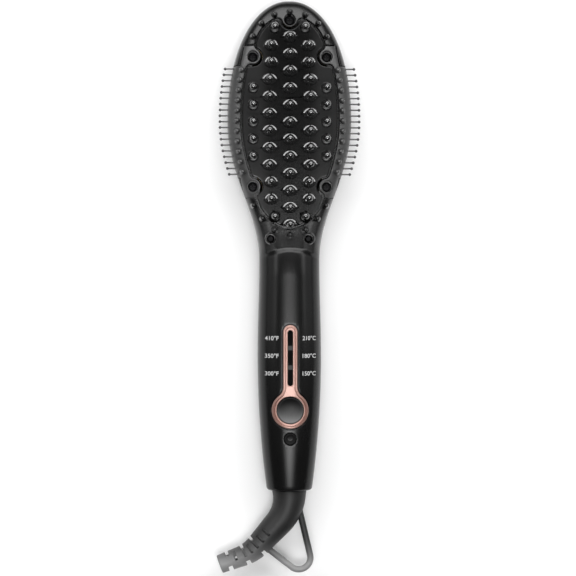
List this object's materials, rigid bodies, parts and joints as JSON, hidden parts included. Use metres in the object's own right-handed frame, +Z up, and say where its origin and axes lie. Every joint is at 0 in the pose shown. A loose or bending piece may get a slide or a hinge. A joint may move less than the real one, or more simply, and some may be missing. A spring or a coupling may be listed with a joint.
{
  "type": "heated hair straightening brush",
  "caption": "Hand-held heated straightening brush: oval toothed plate in a two-part body, side combs, press buttons and a swivel cord boot with hanging loop.",
  "frame": {"origin": "on the rest face under the back, at mid length between the head's tip and the lowest point of the hanging loop", "axes": "+Z up, the way the teeth point; +Y along the handle to the head's tip; +X to the right seen from the toothed side with the head up"},
  "size_m": [0.0761, 0.3027, 0.0335],
  "materials": {
    "satin_black": "fine satin moulding",
    "comb_black": "satin moulding",
    "plate_enamel": "gloss ceramic coat on cast aluminium",
    "cap_black": "smooth moulding",
    "screw_steel": "dark zinc",
    "ceramic": "fired ceramic",
    "mica": "pressed mica",
    "spring_steel": "rolled",
    "bright_metal": "tinned",
    "sensor_red": "dipped resin",
    "board_green": "solder mask",
    "part_black": "moulded",
    "stem_ivory": "moulded",
    "lamp_white": "clear resin",
    "guide_clear": "clear moulding",
    "film_yellow": "resin case",
    "rose_gold": "satin rose-gold plate",
    "smoked_window": "polished",
    "grey_bar": "satin",
    "button_black": "fine satin moulding",
    "bush_ivory": "moulded nylon",
    "contact_brass": "plain",
    "lead_red": "silicone sleeve",
    "lead_white": "silicone sleeve",
    "boot_rubber": "matte moulded rubber"
  },
  "bodies": {
    "body": {"rear_shell": "satin_black", "front_shell": "satin_black", "left_side_comb": "comb_black", "right_side_comb": "comb_black", "heating_plate": "plate_enamel", "tooth_caps": "cap_black", "head_screws": "screw_steel", "neck_screws": "screw_steel", "heater_element": "ceramic", "insulation_sheet": "mica", "heater_clamp": "spring_steel", "clamp_screws": "screw_steel", "thermal_fuse": "bright_metal", "thermistor": "sensor_red", "heat_shield": "mica", "shield_screws": "screw_steel", "control_board": "board_green", "board_screws": "screw_steel", "power_switch": "part_black", "small_switch": "part_black", "indicator_lamps": "lamp_white", "light_guide": "guide_clear", "triac": "part_black", "capacitor": "film_yellow", "control_chip": "part_black", "bezel": "rose_gold", "indicator_window": "smoked_window", "window_bars": "grey_bar", "swivel_bush": "bush_ivory", "contact_arms": "contact_brass", "heater_leads": "lead_red", "thermistor_leads": "lead_white"},
    "power_key": {"power_button": "button_black", "power_switch_stem": "stem_ivory"},
    "small_key": {"small_button": "button_black", "small_switch_stem": "stem_ivory"},
    "boot": {"cord_boot": "boot_rubber", "swivel_clip": "spring_steel", "slip_rings": "contact_brass"}
  },
  "joints": [
    {"name": "power_press", "type": "slide", "parent": "body", "child": "power_key", "axis": [0, 0, -1], "range_m": [0, 0.0008], "stiffness_N_per_m": 1500},
    {"name": "small_press", "type": "slide", "parent": "body", "child": "small_key", "axis": [0, 0, -1], "range_m": [0, 0.0006], "stiffness_N_per_m": 1500},
    {"name": "boot_swivel", "type": "hinge", "parent": "body", "child": "boot", "pos_m": [0, -0.1073, 0.014], "axis": [0, 1, 0], "continuous": true}
  ]
}
